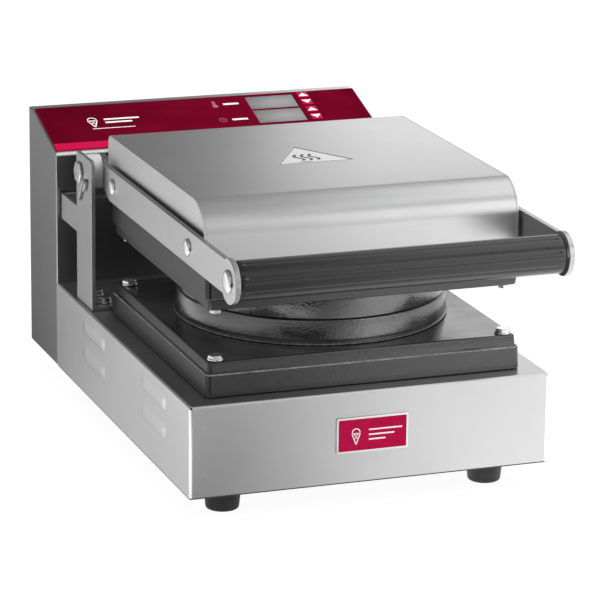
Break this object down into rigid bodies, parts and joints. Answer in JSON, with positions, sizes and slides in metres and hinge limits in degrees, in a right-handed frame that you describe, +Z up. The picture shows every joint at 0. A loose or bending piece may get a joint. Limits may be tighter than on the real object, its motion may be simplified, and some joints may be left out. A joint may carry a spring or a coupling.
{
  "type": "waffle cone maker",
  "caption": "Countertop waffle cone baking iron: stainless base with control tower, round cast grid plates, and a hinged lid with a long front handle.",
  "frame": {"origin": "on the floor under the middle of the whole object's box, lid closed", "axes": "+Z up, +Y from the handle at the front to the control tower at the back, +X to the right as seen by a user at the handle"},
  "size_m": [0.2848, 0.4945, 0.2312],
  "materials": {
    "stainless": "brushed stainless sheet, satin",
    "black_casting": "sand-cast, black non-stick coating, satin",
    "crimson_film": "crimson printed film, glossy",
    "display_window": "grey display window, glossy",
    "black_grip": "black moulded grip, satin",
    "bright_fastener": "bright zinc-plated steel",
    "black_rubber": "black rubber, matt",
    "spring_steel": "drawn spring wire",
    "nylon": "natural nylon, satin",
    "heater_sheath": "heat-tinted steel sheath",
    "mineral_wool": "pressed mineral wool, matt",
    "circuit_board": "green circuit board",
    "black_plastic": "black moulded plastic, satin"
  },
  "bodies": {
    "root": {"base_shell": "stainless", "bottom_plate": "stainless", "bracket_bolt_front_left": "bright_fastener", "bracket_bolt_front_right": "bright_fastener", "bracket_bolt_rear_left": "bright_fastener", "bracket_bolt_rear_right": "bright_fastener", "control_board": "circuit_board", "control_housing": "stainless", "control_overlay": "crimson_film", "foot_front_left": "black_rubber", "foot_front_right": "black_rubber", "foot_rear_left": "black_rubber", "foot_rear_right": "black_rubber", "front_badge": "crimson_film", "hinge_bracket_left": "stainless", "hinge_bracket_right": "stainless", "hinge_nut_left": "bright_fastener", "hinge_nut_right": "bright_fastener", "hinge_shaft": "bright_fastener", "lower_casting": "black_casting", "lower_casting_bolt_front_left": "bright_fastener", "lower_casting_bolt_front_right": "bright_fastener", "lower_casting_bolt_rear_left": "bright_fastener", "lower_casting_bolt_rear_right": "bright_fastener", "lower_grid_plate": "black_casting", "lower_heater": "heater_sheath", "lower_insulation": "mineral_wool", "pivot_washer_left": "nylon", "pivot_washer_right": "nylon", "power_inlet": "black_plastic", "rear_panel": "stainless", "switch_frame": "black_plastic", "temp_display": "display_window", "timer_display": "display_window", "torsion_spring_left": "spring_steel", "torsion_spring_right": "spring_steel"},
    "lid": {"arm_bolt_front_left": "bright_fastener", "arm_bolt_front_right": "bright_fastener", "arm_bolt_rear_left": "bright_fastener", "arm_bolt_rear_right": "bright_fastener", "grip_bolt_left": "bright_fastener", "grip_bolt_right": "bright_fastener", "handle_arm_left": "stainless", "handle_arm_right": "stainless", "handle_grip": "black_grip", "hinge_link_left": "stainless", "hinge_link_right": "stainless", "lid_cover": "stainless", "lid_side_left": "stainless", "lid_side_right": "stainless", "upper_casting": "black_casting", "upper_grid_plate": "black_casting", "upper_heater": "heater_sheath", "upper_insulation": "mineral_wool"},
    "temp_down": {"temp_down_button": "crimson_film"},
    "temp_up": {"temp_up_button": "crimson_film"},
    "timer_down": {"timer_down_button": "crimson_film"},
    "timer_up": {"timer_up_button": "crimson_film"},
    "rocker": {"switch_rocker": "black_plastic"}
  },
  "joints": [
    {"name": "lid_hinge", "type": "hinge", "parent": "root", "child": "lid", "pos_m": [0, 0.10805, 0.195], "axis": [-1, 0, 0], "range_deg": [0, 100]},
    {"name": "temp_down_press", "type": "slide", "parent": "root", "child": "temp_down", "axis": [0, 0.2991, -0.9542], "range_m": [0, 0.0006], "stiffness_N_per_m": 400, "springref_m": -0.0004},
    {"name": "temp_up_press", "type": "slide", "parent": "root", "child": "temp_up", "axis": [0, 0.2991, -0.9542], "range_m": [0, 0.0006], "stiffness_N_per_m": 400, "springref_m": -0.0004},
    {"name": "timer_down_press", "type": "slide", "parent": "root", "child": "timer_down", "axis": [0, 0.2991, -0.9542], "range_m": [0, 0.0006], "stiffness_N_per_m": 400, "springref_m": -0.0004},
    {"name": "timer_up_press", "type": "slide", "parent": "root", "child": "timer_up", "axis": [0, 0.2991, -0.9542], "range_m": [0, 0.0006], "stiffness_N_per_m": 400, "springref_m": -0.0004},
    {"name": "rocker_tilt", "type": "hinge", "parent": "root", "child": "rocker", "pos_m": [-0.035, 0.23755, 0.059], "axis": [-1, 0, 0], "range_deg": [0, 20]}
  ]
}
